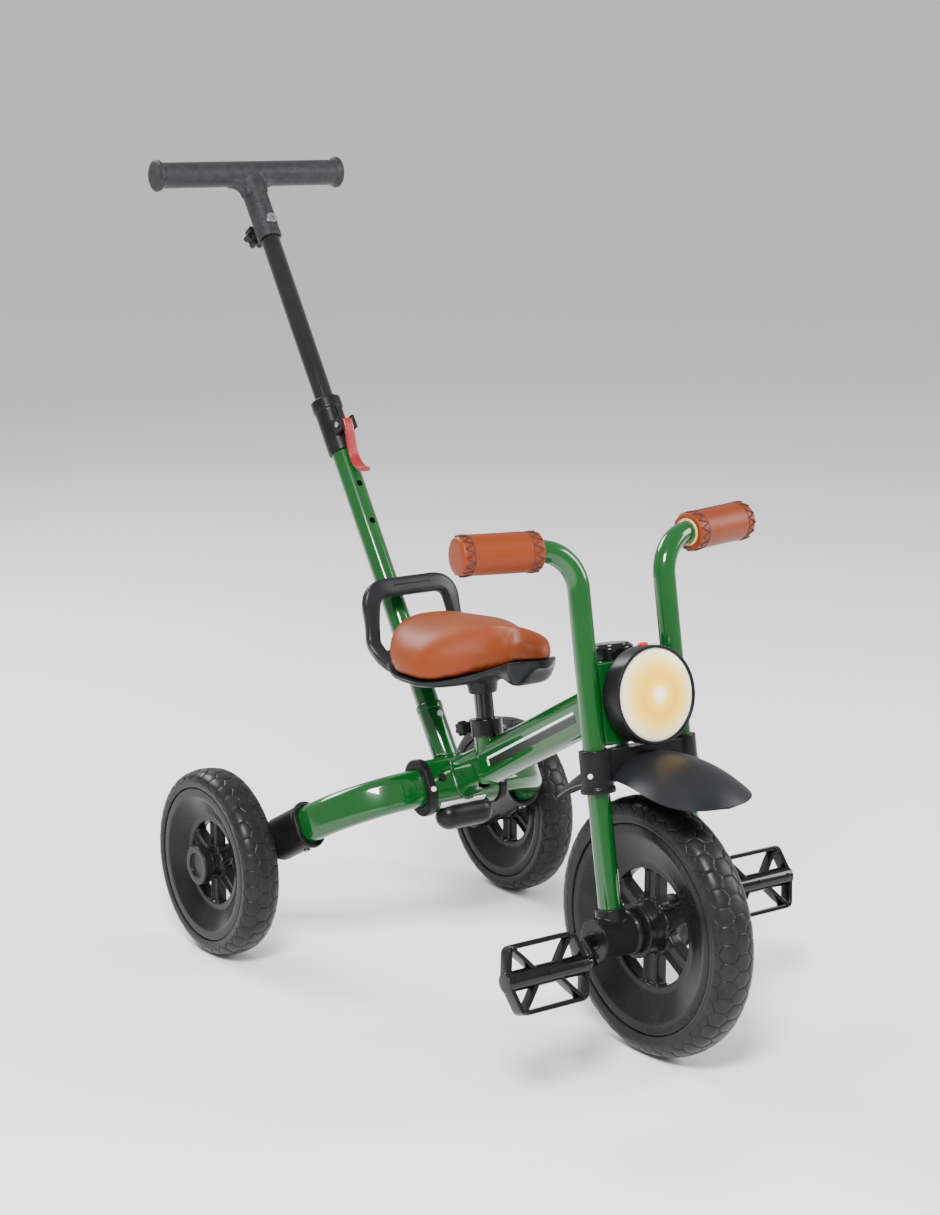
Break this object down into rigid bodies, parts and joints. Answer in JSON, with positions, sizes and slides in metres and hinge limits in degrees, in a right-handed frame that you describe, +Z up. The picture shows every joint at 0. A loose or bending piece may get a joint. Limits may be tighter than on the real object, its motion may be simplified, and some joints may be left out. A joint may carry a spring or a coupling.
{
  "type": "children's tricycle",
  "caption": "Pedal tricycle for a small child: steel frame, raked fork with round lamp, leather saddle, telescopic parent push bar.",
  "frame": {"origin": "on the floor, under the middle of the whole object's box", "axes": "+Z up, -Y forward (the way the rider faces), +X to the rider's left"},
  "size_m": [0.444, 0.8836, 0.8371],
  "materials": {
    "green_paint": "gloss powder coat",
    "black_plastic": "satin moulded",
    "steel": "zinc plated",
    "white_screw": "white",
    "black_paint": "gloss black",
    "tyre_foam": "matt foam with moulded tread",
    "rim_plastic": "satin moulded",
    "white_plastic": "moulded bush",
    "fender_plastic": "dark slate",
    "lens": "frosted, lit",
    "reflector": "white",
    "board": "circuit board",
    "battery": "wrapped cell",
    "red_plastic": "red moulded",
    "tan_leather": "smooth tan",
    "decal_black": "printed film",
    "decal_white": "printed film",
    "grey_plastic": "dark grey, textured"
  },
  "bodies": {
    "frame": {"main_beam": "green_paint", "cross_tube": "green_paint", "head_tube": "green_paint", "seat_tube": "green_paint", "push_socket": "green_paint", "stripe_decals": "decal_black", "line_decals": "decal_white", "blank_label": "decal_white", "rear_legs": "green_paint", "leg_collars": "black_plastic", "collar_screws": "white_screw", "axle_holders": "black_plastic", "holder_screws": "steel", "rear_axles": "steel", "under_cover": "black_plastic", "head_bearings": "steel", "seat_clamp": "black_plastic", "lower_push_tube": "green_paint", "pole_clamp": "black_plastic"},
    "leg_button_left": {"leg_button_left": "black_plastic"},
    "leg_button_right": {"leg_button_right": "black_plastic"},
    "rear_wheel_left": {"rim_rear_left": "rim_plastic", "tyre_rear_left": "tyre_foam", "hub_rear_left": "black_plastic"},
    "rear_wheel_right": {"rim_rear_right": "rim_plastic", "tyre_rear_right": "tyre_foam", "hub_rear_right": "black_plastic"},
    "steering": {"fork_tubes": "green_paint", "fork_bridge": "green_paint", "fork_ends": "black_plastic", "front_bushes": "white_plastic", "steering_bolt": "steel", "stem_cap": "black_plastic", "crown": "black_plastic", "crown_screws": "white_screw", "front_fender": "fender_plastic", "rear_fender": "fender_plastic", "lamp_housing": "black_plastic", "lamp_reflector": "reflector", "lamp_board": "board", "lamp_batteries": "battery", "lamp_lens": "lens", "grip_cores": "grey_plastic", "grip_covers": "tan_leather"},
    "lamp_button": {"lamp_button": "red_plastic"},
    "front_wheel": {"rim_front": "rim_plastic", "tyre_front": "tyre_foam", "crank_rod": "black_paint"},
    "pedal_left": {"pedal_left": "black_plastic"},
    "pedal_right": {"pedal_right": "black_plastic"},
    "saddle": {"saddle_base": "grey_plastic", "saddle_cushion": "tan_leather", "seat_post": "black_paint"},
    "seat_knob": {"seat_knob": "black_plastic"},
    "snap_button": {"snap_button": "steel"},
    "clamp_lever": {"clamp_lever": "red_plastic"},
    "push_bar": {"upper_push_tube": "black_paint", "push_handle": "grey_plastic", "handle_bolt": "steel"},
    "star_knob": {"star_knob": "black_plastic"}
  },
  "joints": [
    {"name": "steering", "type": "hinge", "parent": "frame", "child": "steering", "pos_m": [0, -0.2496, 0.33792], "axis": [0, 0.1719, 0.9851], "range_deg": [-60, 60]},
    {"name": "front_wheel_spin", "type": "hinge", "parent": "steering", "child": "front_wheel", "pos_m": [0, -0.31483, 0.127], "axis": [1, 0, 0], "continuous": true},
    {"name": "pedal_left_spin", "type": "hinge", "parent": "front_wheel", "child": "pedal_left", "pos_m": [0.16674, -0.26983, 0.127], "axis": [1, 0, 0], "continuous": true},
    {"name": "pedal_right_spin", "type": "hinge", "parent": "front_wheel", "child": "pedal_right", "pos_m": [-0.16674, -0.35983, 0.127], "axis": [1, 0, 0], "continuous": true},
    {"name": "rear_wheel_left_spin", "type": "hinge", "parent": "frame", "child": "rear_wheel_left", "pos_m": [0.195, 0.18217, 0.101], "axis": [1, 0, 0], "continuous": true},
    {"name": "rear_wheel_right_spin", "type": "hinge", "parent": "frame", "child": "rear_wheel_right", "pos_m": [-0.195, 0.18217, 0.101], "axis": [1, 0, 0], "continuous": true},
    {"name": "saddle_height", "type": "slide", "parent": "frame", "child": "saddle", "axis": [0, 0.1564, 0.9877], "range_m": [-0.018, 0.02]},
    {"name": "seat_knob_turn", "type": "hinge", "parent": "frame", "child": "seat_knob", "pos_m": [0, -0.01568, 0.26202], "axis": [-1, 0, 0], "range_deg": [0, 360]},
    {"name": "push_bar_telescope", "type": "slide", "parent": "frame", "child": "push_bar", "axis": [0, 0.5446, 0.8387], "range_m": [-0.195, 0.045]},
    {"name": "clamp_lever_open", "type": "hinge", "parent": "frame", "child": "clamp_lever", "pos_m": [0, 0.22427, 0.55406], "axis": [-1, 0, 0], "range_deg": [0, 110]},
    {"name": "star_knob_turn", "type": "hinge", "parent": "push_bar", "child": "star_knob", "pos_m": [0, 0.40412, 0.75205], "axis": [0, 0.8387, -0.5446], "range_deg": [0, 360]},
    {"name": "lamp_button_press", "type": "slide", "parent": "steering", "child": "lamp_button", "axis": [0, -0.1719, -0.9851], "range_m": [0, 0.0015], "stiffness_N_per_m": 600, "springref_m": -0.002},
    {"name": "leg_button_left_press", "type": "slide", "parent": "frame", "child": "leg_button_left", "axis": [0, 0.8692, -0.4945], "range_m": [0, 0.0025], "stiffness_N_per_m": 800, "springref_m": -0.002},
    {"name": "leg_button_right_press", "type": "slide", "parent": "frame", "child": "leg_button_right", "axis": [0, 0.8692, -0.4945], "range_m": [0, 0.0025], "stiffness_N_per_m": 800, "springref_m": -0.002},
    {"name": "snap_button_press", "type": "slide", "parent": "frame", "child": "snap_button", "axis": [0, 0.8387, -0.5446], "range_m": [0, 0.004], "stiffness_N_per_m": 800, "springref_m": -0.002}
  ]
}
